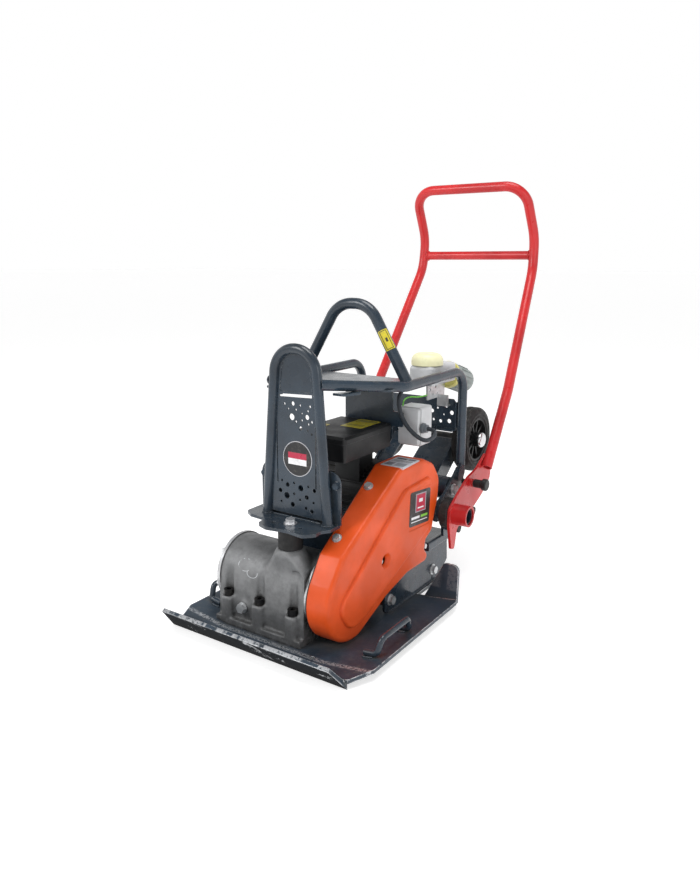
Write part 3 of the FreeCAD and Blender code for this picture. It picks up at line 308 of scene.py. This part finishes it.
def plate_paint(name):
    """The base plate: paint rubbed bright at its edges and bend, dust, and tar with painted shade on its
    downward faces.
    """
    g = Graph(name)
    tone = g.mix(g.step(g.noise(14, 4), 0.35, 0.7), linear(50, 63, 76), linear(37, 47, 57))
    grit = g.step(g.noise(95, 8, 0.72), 0.5, 0.7)
    dust = g.calc("MULTIPLY", grit, g.step(g.facing_up(), 0.3, 0.95, 0.1, 0.42))
    corner = g.calc("MULTIPLY", g.hollows(0.03), g.step(g.noise(50, 6), 0.3, 0.6, 0.2, 0.75))
    tone = g.mix(g.calc("MAXIMUM", dust, corner), tone, linear(92, 92, 88))
    # downward faces painted near-black: tar and painted shade; the same mask lowers the specular and raises
    # the roughness there
    under = g.step(g.facing_up(), -0.55, -0.2, 0.93, 0.0)
    tone = g.mix(under, tone, linear(20, 21, 23))
    rub = g.calc("MULTIPLY", g.edges(0.0035, 0.99, 0.85), g.step(g.noise(75, 9, 0.75), 0.4, 0.52))
    patch = g.step(g.noise(30, 9, 0.75, stretch=(1, 1, 2)), 0.62, 0.67, 0, 0.55)
    forward = g.step(g.axis("Y"), -0.205, -0.19, 1.0, 0.12)
    bands = g.step(g.noise(17, 3, 0.5, stretch=(1, 0.01, 0.01)), 0.46, 0.5)
    crest = g.calc("MULTIPLY", g.step(g.axis("Z"), 0.036, 0.04), g.step(g.noise(150, 9, 0.8), 0.4, 0.5))
    crest = g.calc("MULTIPLY", crest, bands)
    from_seam = g.calc("ABSOLUTE", g.calc("ADD", g.axis("Y"), 0.151))
    rough_seam = g.step(g.noise(260, 8, 0.8), 0.47, 0.53, 0, 0.75)
    seam = g.calc("MULTIPLY", g.step(from_seam, 0.002, 0.008, 1.0, 0.0), rough_seam)
    scrape = g.step(g.noise(16, 9, 0.78, stretch=(1, 1, 1.6), distortion=0.4), 0.58, 0.62, 0, 0.75)
    bare = g.calc("MAXIMUM", rub, g.calc("MULTIPLY", patch, forward))
    bare = g.calc("MAXIMUM", g.calc("MAXIMUM", bare, seam), g.calc("MULTIPLY", crest, forward))
    bare = g.calc("MULTIPLY", bare, g.step(under, 0, 0.9, 1.0, 0.25))
    bare = g.calc("MAXIMUM", bare, g.calc("MULTIPLY", scrape, g.calc("MULTIPLY", under, forward)))
    g.set("Base Color", g.mix(bare, tone, linear(205, 207, 210)))
    g.set("Metallic", g.calc("MULTIPLY", bare, 0.9))
    g.set("Roughness", g.calc("ADD", g.step(bare, 0, 1, 0.4, 0.34), g.calc("MULTIPLY", under, 0.35)))
    g.set("Specular IOR Level", g.step(under, 0, 0.9, 0.34, 0.04))
    g.bump(g.noise(300, 3, 0.5), 0.00012, 0.0018)
    g.bump(g.noise(60, 8, 0.7), 0.0005)
    return g.material


def two_tone(name):
    """The inlet's outlet end: a pale yellow collar, then dull grey-green plastic."""
    g = Graph(name)
    collar = g.step(g.axis("Y"), 0.413, 0.415, 1.0, 0.0)
    tone = g.mix(g.step(g.noise(20, 4), 0.35, 0.7), linear(150, 160, 158), linear(122, 132, 130))
    tone = g.mix(collar, tone, linear(214, 206, 120))
    film = g.calc("MAXIMUM", g.hollows(0.006), g.step(g.noise(60, 7, 0.65), 0.52, 0.8, 0, 0.4))
    g.set("Base Color", g.mix(g.calc("MULTIPLY", film, 0.5), tone, linear(92, 90, 82)))
    g.set("Roughness", g.step(g.noise(40, 4), 0.3, 0.7, 0.36, 0.52))
    g.set("Specular IOR Level", 0.35)
    g.bump(g.noise(800, 3, 0.6), 0.00005)
    return g.material


def label(name, ground, patches):
    """A printed sticker: a plain ground with flat patches, each (u0, v0, u1, v1, colour)."""
    g = Graph(name)
    tone = ground
    for low_u, low_v, high_u, high_v, colour in patches:
        tone = g.mix(g.patch(low_u, low_v, high_u, high_v), tone, colour)
    grime = g.step(g.noise(90, 7, 0.7), 0.5, 0.75, 0, 0.35)
    g.set("Base Color", g.mix(grime, tone, linear(120, 115, 105)))
    g.set("Roughness", g.step(g.noise(60, 4), 0.3, 0.7, 0.27, 0.5))
    g.bump(g.noise(250, 4, 0.6), 0.00005, 0)
    return g.material


SLATE_DUST = linear(104, 102, 96)
STEEL = linear(196, 198, 200)
slate = painted("slate_paint", linear(42, 56, 69), linear(31, 41, 51), SLATE_DUST, STEEL,
                0.26, 0.38, 0.2, 0.3)
look = {
    "slate_paint": slate,
    # the third colour is the oily dirt and painted shade of the casting's corners, and the darkening towards
    # its bottom
    "cast_aluminium": cast("cast_aluminium", linear(128, 129, 130), linear(112, 113, 114),
                           linear(44, 43, 41)),
    "orange_plastic": moulded("orange_plastic", linear(206, 73, 14), linear(165, 66, 36), 0.42, 0.1, 700,
                              0.08, 0.00003, 0.35, linear(226, 120, 80), 0.0045),
    "red_paint": painted("red_paint", linear(196, 38, 40), linear(172, 27, 30), linear(160, 84, 76),
                         linear(240, 176, 170), 0.3, 0.5, 0.16, 0.2),
    "black_paint": painted("black_paint", linear(24, 26, 28), linear(17, 18, 20), linear(74, 70, 65),
                           linear(110, 110, 110), 0.5, 0.3, 0.4, 0),
    "black_plastic": moulded("black_plastic", linear(16, 17, 19), linear(50, 49, 47), 0.4, 0.3, 900,
                              0, 0.00006, 0.5, linear(82, 84, 88)),
    "grey_plastic": moulded("grey_plastic", linear(190, 191, 193), linear(120, 116, 108), 0.45, 0.4),
    "yellow_plastic": moulded("yellow_plastic", linear(236, 231, 188), linear(160, 152, 120), 0.35, 0.3,
                               800, 0.2),
    "green_plastic": moulded("green_plastic", linear(40, 120, 70), linear(80, 85, 70), 0.35, 0.3),
    "rubber": rubber("rubber", linear(30, 30, 31), linear(85, 82, 76)),
    "mount": rubber("mount_rubber", linear(22, 22, 23), linear(46, 45, 43)),
    "tyre": rubber("tyre", linear(27, 27, 28), linear(98, 95, 90), 0.6, 0.45),
    "wire": moulded("wire", linear(110, 190, 70), linear(95, 110, 70), 0.4, 0.25),
    "cable": moulded("cable_sheath", linear(50, 54, 60), linear(96, 94, 90), 0.5, 0.3, 1200),
    "gland": moulded("gland_grey", linear(96, 102, 108), linear(120, 116, 108), 0.45, 0.3),
    "shroud": two_tone("shroud_plastic"),
    "zinc": bare_metal("zinc", linear(210, 212, 214), linear(130, 128, 124), 0.36, 0.25),
    "axle": part_painted("axle_metal", "X", 0, 0.095, linear(24, 27, 31), linear(60, 58, 54), 0.14),
    "bolts": part_painted("bolt_metal", "Z", 0.311, 0.008, linear(42, 56, 69), linear(31, 41, 51), 0.26),
    "steel": bare_metal("steel", linear(205, 206, 208), linear(110, 106, 100), 0.36),
    "black_steel": bare_metal("black_steel", linear(38, 38, 40), linear(70, 66, 60), 0.35),
}
plate_look = plate_paint("plate_paint")
slot_of = {entry["node"]: entry["material_slot"] for entry in frame["record"]["subparts"]}


def dress(piece, material):
    """Gives a piece one material."""
    piece.data.materials.clear()
    piece.data.materials.append(material)


own_look = {"base_plate": plate_look, "cable_gland": look["gland"], "inlet_shroud": look["shroud"],
            "wheel_axle": look["axle"], "frame_bolts": look["bolts"],
            "front_mount": look["mount"], "rear_mounts": look["mount"]}
for node_name, piece in nodes.items():
    dress(piece, own_look.get(node_name) or look[slot_of[node_name]])


# ---------------------------------------------------------------- mesh helpers

def mesh_piece(name, verts, faces, material, body, smooth=True, uvs=None):
    """A closed mesh as a piece that rides on a body, with an optional map."""
    mesh = bpy.data.meshes.new(name)
    mesh.from_pydata([tuple(v) for v in verts], [], faces)
    if uvs:
        layer = mesh.uv_layers.new(name="Map")
        for loop in mesh.loops:
            layer.data[loop.index].uv = uvs[loop.vertex_index]
    mesh.polygons.foreach_set("use_smooth", [smooth] * len(mesh.polygons))
    mesh.update()
    build = bmesh.new()
    build.from_mesh(mesh)
    bmesh.ops.recalc_face_normals(build, faces=build.faces)
    build.to_mesh(mesh)
    build.free()
    piece = bpy.data.objects.new(name, mesh)
    bpy.context.scene.collection.objects.link(piece)
    dress(piece, material)
    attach(piece, body)
    return piece


surface_trees = {}


def surface(node_name):
    """A CAD node's faces, kept for ray casts."""
    if node_name not in surface_trees:
        mesh = nodes[node_name].data
        surface_trees[node_name] = BVHTree.FromPolygons([v.co.copy() for v in mesh.vertices],
                                                        [tuple(p.vertices) for p in mesh.polygons])
    return surface_trees[node_name]


def decal(name, node_name, centre, across, up, inward, half_size, rounding, material,
          body="machine", steps=16, lift=0.0004):
    """A thin sticker laid on a CAD node's surface; its map runs from 0 to 1 each way."""
    centre, across, up, inward = (Vector(v) for v in (centre, across, up, inward))
    across.normalize()
    up.normalize()
    inward.normalize()
    width, height = half_size
    tree = surface(node_name)
    verts, uvs, faces = [], [], []
    for layer in (lift, 0.0):
        for row in range(steps + 1):
            for column in range(steps + 1):
                a = (2 * column / steps - 1) * width
                b = (2 * row / steps - 1) * height
                corner = max(abs(a) - (width - rounding), 0), max(abs(b) - (height - rounding), 0)
                length = math.hypot(*corner)
                if length > rounding > 0 and min(corner) > 0:
                    a = math.copysign(width - rounding + corner[0] / length * rounding, a)
                    b = math.copysign(height - rounding + corner[1] / length * rounding, b)
                start = centre + across * a + up * b - inward * 0.06
                hit = tree.ray_cast(start, inward, 0.16)[0]
                spot = hit if hit is not None else start + inward * 0.06
                verts.append(spot - inward * layer)
                uvs.append((a / width / 2 + 0.5, b / height / 2 + 0.5))
    line = steps + 1
    for row in range(steps):
        for column in range(steps):
            first = row * line + column
            faces.append((first, first + 1, first + line + 1, first + line))
    rim = [column for column in range(line)] + [row * line + steps for row in range(1, line)]
    rim += [steps * line + column for column in range(steps - 1, -1, -1)]
    rim += [row * line for row in range(steps - 1, 0, -1)]
    under = line * line
    faces += [tuple(reversed([corner + under for corner in face])) for face in faces]
    faces += [(rim[i], rim[(i + 1) % len(rim)], rim[(i + 1) % len(rim)] + under, rim[i] + under)
              for i in range(len(rim))]
    mesh_piece(name, verts, faces, material, body, False, uvs)


def lathe(name, profile, centre, material, body, turns):
    """A closed profile of (x, radius) turned about the X axis through centre."""
    centre = Vector(centre)
    verts, faces = [], []
    count = len(profile)
    for turn in range(turns):
        angle = 2 * math.pi * turn / turns
        for x, radius in profile:
            verts.append(centre + Vector((x, radius * math.cos(angle), radius * math.sin(angle))))
    for turn in range(turns):
        ahead = (turn + 1) % turns
        for index in range(count):
            following = (index + 1) % count
            faces.append((turn * count + index, turn * count + following,
                          ahead * count + following, ahead * count + index))
    return mesh_piece(name, verts, faces, material, body)


def bead(name, path, radius, material=None, body="machine", pitch=0.0034,
         closed=False):
    """A weld bead: a rippled roll along a path."""
    points = [Vector(p) * MM for p in path]
    if closed:
        points.append(points[0])
    lengths = [0.0]
    for first, second in zip(points, points[1:]):
        lengths.append(lengths[-1] + (second - first).length)
    total = lengths[-1]
    count = max(8, int(total / 0.0009))
    around = 8
    verts, faces = [], []
    for step in range(count + 1):
        along = total * step / count
        index = max(i for i in range(len(points) - 1) if lengths[i] <= along + 1e-9)
        part = (along - lengths[index]) / max(lengths[index + 1] - lengths[index], 1e-9)
        spot = points[index].lerp(points[index + 1], part)
        heading = (points[index + 1] - points[index]).normalized()
        side = heading.orthogonal().normalized()
        top = heading.cross(side)
        ripple = abs(math.sin(math.pi * along / pitch))
        wobble = 1 + 0.12 * math.sin(along * 610) + 0.08 * math.sin(along * 1730 + 1)
        end = 1.0 if closed else min(1.0, (min(along, total - along) + 0.0008) / 0.003)
        size = radius * MM * (0.84 + 0.2 * ripple) * wobble * end
        for turn in range(around):
            angle = 2 * math.pi * turn / around
            verts.append(spot + (side * math.cos(angle) + top * math.sin(angle)) * size)
    for step in range(count):
        for turn in range(around):
            ahead = (turn + 1) % around
            faces.append((step * around + turn, step * around + ahead,
                          (step + 1) * around + ahead, (step + 1) * around + turn))
    faces.append(tuple(range(around))[::-1])
    faces.append(tuple(range(count * around, (count + 1) * around)))
    mesh_piece(name, verts, faces, material or slate, body)


def ring(centre, radius, axis, start=0, end=360, steps=40):
    """Points of an arc in mm about a centre, in the plane square to an axis."""
    points = []
    for step in range(steps):
        angle = math.radians(start + (end - start) * step / (steps if end - start == 360 else steps - 1))
        a, b = radius * math.cos(angle), radius * math.sin(angle)
        offset = {"X": (0, a, b), "Y": (a, 0, b), "Z": (a, b, 0)}[axis]
        points.append(tuple(c + o for c, o in zip(centre, offset)))
    return points


# ---------------------------------------------------------------- cast housing

DRUM_Y, DRUM_Z, DRUM_RADIUS = -0.052, 0.095, 0.0722
NECK_BLEND = 0.046
FOOT_TOP = 0.03


def soft_casting(name, node_name, material, body, voxel=0.002, passes=11):
    """A casting rebuilt with the blended corners of a sand mould; its foot and ends stay crisp."""
    source = nodes[node_name]
    draft = bpy.data.objects.new(name + "_draft", source.data.copy())
    bpy.context.scene.collection.objects.link(draft)
    rebuild = draft.modifiers.new("rebuild", "REMESH")
    rebuild.mode = "VOXEL"
    rebuild.voxel_size = voxel
    graph = bpy.context.evaluated_depsgraph_get()
    mesh = bpy.data.meshes.new_from_object(draft.evaluated_get(graph))
    bpy.data.objects.remove(draft)
    build = bmesh.new()
    build.from_mesh(mesh)
    low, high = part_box(node_name)
    inner = [v for v in build.verts if low.x + 0.004 < v.co.x < high.x - 0.004]
    neck_top = high.z - 0.009
    for spot in [v.co for v in inner if DRUM_Z < v.co.z < neck_top]:
        arm = Vector((0, spot.y - DRUM_Y, spot.z - DRUM_Z))
        share = min(1, (neck_top - spot.z) / NECK_BLEND)
        if arm.length > DRUM_RADIUS and spot.y < DRUM_Y:
            spot -= arm * (1 - DRUM_RADIUS / arm.length) * share
    soft = [v for v in inner if FOOT_TOP < v.co.z < high.z - 0.003]
    for _ in range(passes):
        bmesh.ops.smooth_vert(build, verts=soft, factor=0.5,
                              use_axis_x=True, use_axis_y=True, use_axis_z=True)
    build.to_mesh(mesh)
    build.free()
    mesh.name = name
    mesh.polygons.foreach_set("use_smooth", [True] * len(mesh.polygons))
    piece = bpy.data.objects.new(name, mesh)
    bpy.context.scene.collection.objects.link(piece)
    dress(piece, material)
    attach(piece, body)
    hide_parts(node_name)


soft_casting("exciter_casting", "exciter_housing", look["cast_aluminium"], "machine")


# ---------------------------------------------------------------- cables

def cable(name, node_name, route, size, material):
    """A cable on one smooth line along its route, given in millimetres."""
    curve = bpy.data.curves.new(name, "CURVE")
    curve.dimensions = "3D"
    curve.bevel_depth = size / 2 * MM
    curve.bevel_resolution = 6
    curve.use_fill_caps = True
    spline = curve.splines.new("NURBS")
    spline.points.add(len(route) - 1)
    for point, spot in zip(spline.points, route):
        point.co = (*(c * MM for c in spot), 1)
    spline.order_u = 3
    spline.use_endpoint_u = True
    spline.resolution_u = 12
    curve.materials.append(material)
    piece = bpy.data.objects.new(name, curve)
    bpy.context.scene.collection.objects.link(piece)
    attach(piece, "machine")
    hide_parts(node_name)


cable("power_cable_run", "power_cable",
      [(133, 212, 377), (152, 212, 377), (157, 196, 364), (142, 183, 356), (114, 181, 371), (93, 181, 393),
       (79, 182, 424), (76, 190, 448), (78, 212, 462), (80, 241, 466), (80, 269.9, 466)],
      9, look["cable"])
cable("earth_wire_run", "earth_wire",
      [(74, 210, 420), (74, 210, 433), (74, 240, 436), (80.5, 270, 430), (80.5, 303.9, 430)],
      3, look["wire"])


# ---------------------------------------------------------------- tyres

def tyre(name, node_name, body):
    """A solid tyre: rounded shoulders, three tread grooves and two raised rings on each wall."""
    low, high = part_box(node_name)
    centre = (0, (low.y + high.y) / 2, (low.z + high.z) / 2)
    radius = 0.0768
    bore = 0.0522
    half = (high.x - low.x) / 2 - 0.0002
    middle = (high.x + low.x) / 2
    edge = half / MM
    wall = [(0, bore + 0.003), (4, bore + 0.0028), (4.6, bore + 0.0004), (edge - 1.6, bore),
            (edge - 0.4, bore + 0.0012), (edge - 0.1, bore + 0.003), (edge - 0.9, bore + 0.0038),
            (edge - 0.7, bore + 0.0085), (edge, bore + 0.0095), (edge, bore + 0.0118),
            (edge - 0.9, bore + 0.0126), (edge - 1.6, radius - 0.0075), (edge - 3.2, radius - 0.0038),
            (edge - 6.2, radius - 0.0012), (edge - 8.6, radius - 0.0002), (edge - 9.4, radius - 0.0022),
            (edge - 10.6, radius - 0.0022), (edge - 11.2, radius), (2.6, radius), (1.6, radius - 0.002),
            (0, radius - 0.0022)]
    profile = [(middle + x * MM, r) for x, r in wall]
    profile += [(middle - x * MM, r) for x, r in reversed(wall) if x > 0]
    piece = lathe(name, profile, centre, look["tyre"], body, 120)
    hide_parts(node_name)


for side in ("right", "left"):
    tyre("tyre_tread_" + side, "tyre_" + side, "wheel_" + side)


# ---------------------------------------------------------------- labels

INK = linear(22, 22, 24)
PAPER = linear(226, 226, 228)
BRIGHT = linear(176, 28, 62)
YELLOW = linear(206, 190, 48)

hoop_badge = label("hoop_badge_print", INK, [(0.17, 0.5, 0.83, 0.68, BRIGHT), (0.17, 0.32, 0.83, 0.5, PAPER)])
decal("hoop_badge_rim", "hoop_panel", (0.003, -0.067, 0.353), (1, 0, 0), (0, 0, 1), (0, 1, 0),
      (0.0345, 0.0345), 0.0345, label("badge_rim_print", linear(190, 190, 195), []),
      lift=0.0005)
decal("hoop_badge", "hoop_panel", (0.003, -0.067, 0.353), (1, 0, 0), (0, 0, 1), (0, 1, 0),
      (0.033, 0.033), 0.033, hoop_badge, lift=0.0009)

guard_badge = label("guard_badge_print", INK, [
    (0.27, 0.38, 0.79, 0.92, linear(150, 148, 155)), (0.31, 0.41, 0.75, 0.89, BRIGHT),
    (0.38, 0.48, 0.68, 0.52, PAPER), (0.44, 0.66, 0.62, 0.76, PAPER),
    (0.1, 0.2, 0.5, 0.27, PAPER), (0.56, 0.2, 0.9, 0.27, linear(120, 190, 60)),
    (0.1, 0.11, 0.9, 0.135, PAPER)])
decal("guard_badge", "belt_guard", (0.14, 0.168, 0.2185), (0, 1, -0.08), (0, 0.02, 1), (-1, 0, 0),
      (0.0405, 0.0375), 0.005, guard_badge, lift=0.0004)
decal("rating_label", "belt_guard", (0.110, 0.139, 0.317), (1, 0, 0), (0, 1, 0), (0, 0, -1),
      (0.026, 0.037), 0.002,
      label("rating_print", linear(198, 202, 208), [
          (0.08, 0.8, 0.55, 0.9, linear(70, 74, 84)), (0.62, 0.78, 0.92, 0.92, linear(95, 100, 112)),
          (0.08, 0.66, 0.92, 0.69, linear(90, 95, 105)), (0.08, 0.58, 0.92, 0.61, linear(90, 95, 105)),
          (0.08, 0.5, 0.6, 0.53, linear(90, 95, 105)), (0.08, 0.1, 0.42, 0.4, linear(120, 124, 134)),
          (0.5, 0.1, 0.92, 0.4, linear(150, 154, 162))]))
decal("loop_label", "lifting_loop", (0.080, 0.130, 0.566), (0.72, 0.47, 0.43), (-0.509, 0, 0.861),
      (-0.427, 0.868, -0.254), (0.0098, 0.0215), 0.001,
      label("loop_label_print", YELLOW, [(0.14, 0.06, 0.2, 0.94, INK), (0.8, 0.06, 0.86, 0.94, INK),
                                         (0.14, 0.04, 0.86, 0.07, INK), (0.14, 0.93, 0.86, 0.96, INK),
                                         (0.42, 0.4, 0.66, 0.6, linear(60, 56, 40))]))
decal("box_label_small", "control_box_lid", (-0.043, 0.07, 0.388), (1, 0, 0), (0, 1, 0), (0, 0, -1),
      (0.012, 0.02), 0.001,
      label("box_label_small_print", YELLOW, [(0.15, 0.6, 0.85, 0.85, linear(170, 60, 40)),
                                              (0.15, 0.2, 0.85, 0.25, INK)]))
decal("box_label", "control_box_lid", (0.018, 0.132, 0.388), (1, 0, 0), (0, 1, 0), (0, 0, -1),
      (0.026, 0.039), 0.002,
      label("box_label_print", YELLOW, [(0.06, 0.72, 0.94, 0.94, linear(160, 150, 60)),
                                        (0.12, 0.3, 0.88, 0.34, linear(110, 100, 50)),
                                        (0.12, 0.2, 0.88, 0.24, linear(110, 100, 50))]))


# ---------------------------------------------------------------- weld beads

for sign, side in ((1, "right"), (-1, "left")):
    outer_x = 118.4 * sign
    bead("weld_rib_" + side, [(outer_x, 84, 8.6), (outer_x, 294, 8.6)], 2.2)
    for foot, y in (("front", -99), ("rear", 19)):
        bead("weld_grip_%s_%s" % (foot, side), [(sign * 176, y - 7, 16.2), (sign * 186, y - 8, 17.4),
                                                (sign * 199, y - 6, 19.4)], 2.4)
    bead("weld_loop_" + side, ring((sign * 127.5, 130, 486.5), 11.4, "Z", 20, 340, 30), 2.0)
    bead("weld_hoop_foot_" + side, ring((sign * 72.4, -66, 234.7), 10.6, "Z"), 2.0, closed=True)
    bead("weld_cross_plate_" + side, [(sign * 124.2, 66, 480.4), (sign * 124.2, 194, 480.4)], 1.9)
    bead("weld_gusset_" + side, [(sign * 78, -56, 234.6), (sign * 90, -56, 234.6)], 2.0)
    bead("weld_crossbar_" + side, ring((sign * 143.6, 721, 736), 11.4, "X", 50, 310), 2.0,
         look["red_paint"], "handle")
bead("weld_hoop_panel", [(-58, -67.2, 234.6), (58, -67.2, 234.6)], 1.9)


# ---------------------------------------------------------------- stage, light, camera

floor_mesh = bpy.data.meshes.new("studio_floor")
floor_mesh.from_pydata([(-60, -60, 0), (60, -60, 0), (60, 60, 0), (-60, 60, 0)], [], [(0, 1, 2, 3)])
floor = bpy.data.objects.new("studio_floor", floor_mesh)
bpy.context.scene.collection.objects.link(floor)
floor_look = Graph("studio_floor")
floor_look.set("Base Color", (0.7, 0.7, 0.7, 1))
floor_look.set("Roughness", 0.75)
floor_look.set("Emission Color", (1, 1, 1, 1))
floor_look.set("Emission Strength", 0.62)
dress(floor, floor_look.material)

world = bpy.data.worlds.new("studio")
world.use_nodes = True
sky = world.node_tree.nodes
sky_direction = sky.new("ShaderNodeTexCoord")
sky_height = sky.new("ShaderNodeSeparateXYZ")
sky_fade = sky.new("ShaderNodeMapRange")
for key, value in (("From Min", 0.36), ("From Max", 0.62), ("To Min", 1.0), ("To Max", 0.3)):
    sky_fade.inputs[key].default_value = value
world.node_tree.links.new(sky_direction.outputs["Generated"], sky_height.inputs[0])
world.node_tree.links.new(sky_height.outputs["Z"], sky_fade.inputs["Value"])
world.node_tree.links.new(sky_fade.outputs["Result"], sky["Background"].inputs["Strength"])
sky["Background"].inputs["Color"].default_value = (1, 1, 1, 1)
bpy.context.scene.world = world
bpy.context.scene.view_settings.view_transform = "Standard"


def lamp(name, place, target, size, power, tint=(1, 1, 1)):
    """A soft rectangular studio lamp aimed at a target."""
    data = bpy.data.lights.new(name, "AREA")
    data.shape = "RECTANGLE"
    data.size, data.size_y = size
    data.energy = power
    data.color = tint
    item = bpy.data.objects.new(name, data)
    bpy.context.scene.collection.objects.link(item)
    item.location = place
    item.rotation_mode = "QUATERNION"
    item.rotation_quaternion = (Vector(target) - Vector(place)).to_track_quat("-Z", "Y")


lamp("overhead", (0.2, 0.1, 2.6), (0, 0.1, 0.3), (1.2, 1.2), 30)
lamp("key", (-1.1, -1.9, 2.0), (0, 0.1, 0.35), (0.9, 1.2), 30)
lamp("fill", (2.4, -0.6, 1.1), (0, 0.1, 0.35), (0.9, 1.4), 8, (0.96, 0.98, 1))

CAMERA_PLACE = Vector((0.8537, -1.1617, 0.7203))
AZIMUTH = math.radians(34.37)
PITCH = math.radians(11.84)
SENSOR_MM = 36
LENS_MM = 31.158
LENS_SHIFT = (0.00978, -0.01749)
view_line = Vector((-math.sin(AZIMUTH) * math.cos(PITCH), math.cos(AZIMUTH) * math.cos(PITCH),
                    -math.sin(PITCH)))
camera_data = bpy.data.cameras.new("camera")
camera_data.sensor_width = SENSOR_MM
camera_data.lens = LENS_MM
camera_data.shift_x, camera_data.shift_y = LENS_SHIFT
camera_data.clip_start = 0.01
camera = bpy.data.objects.new("camera", camera_data)
bpy.context.scene.collection.objects.link(camera)
camera.location = CAMERA_PLACE
camera.rotation_mode = "QUATERNION"
camera.rotation_quaternion = view_line.to_track_quat("-Z", "Y")
bpy.context.scene.camera = camera
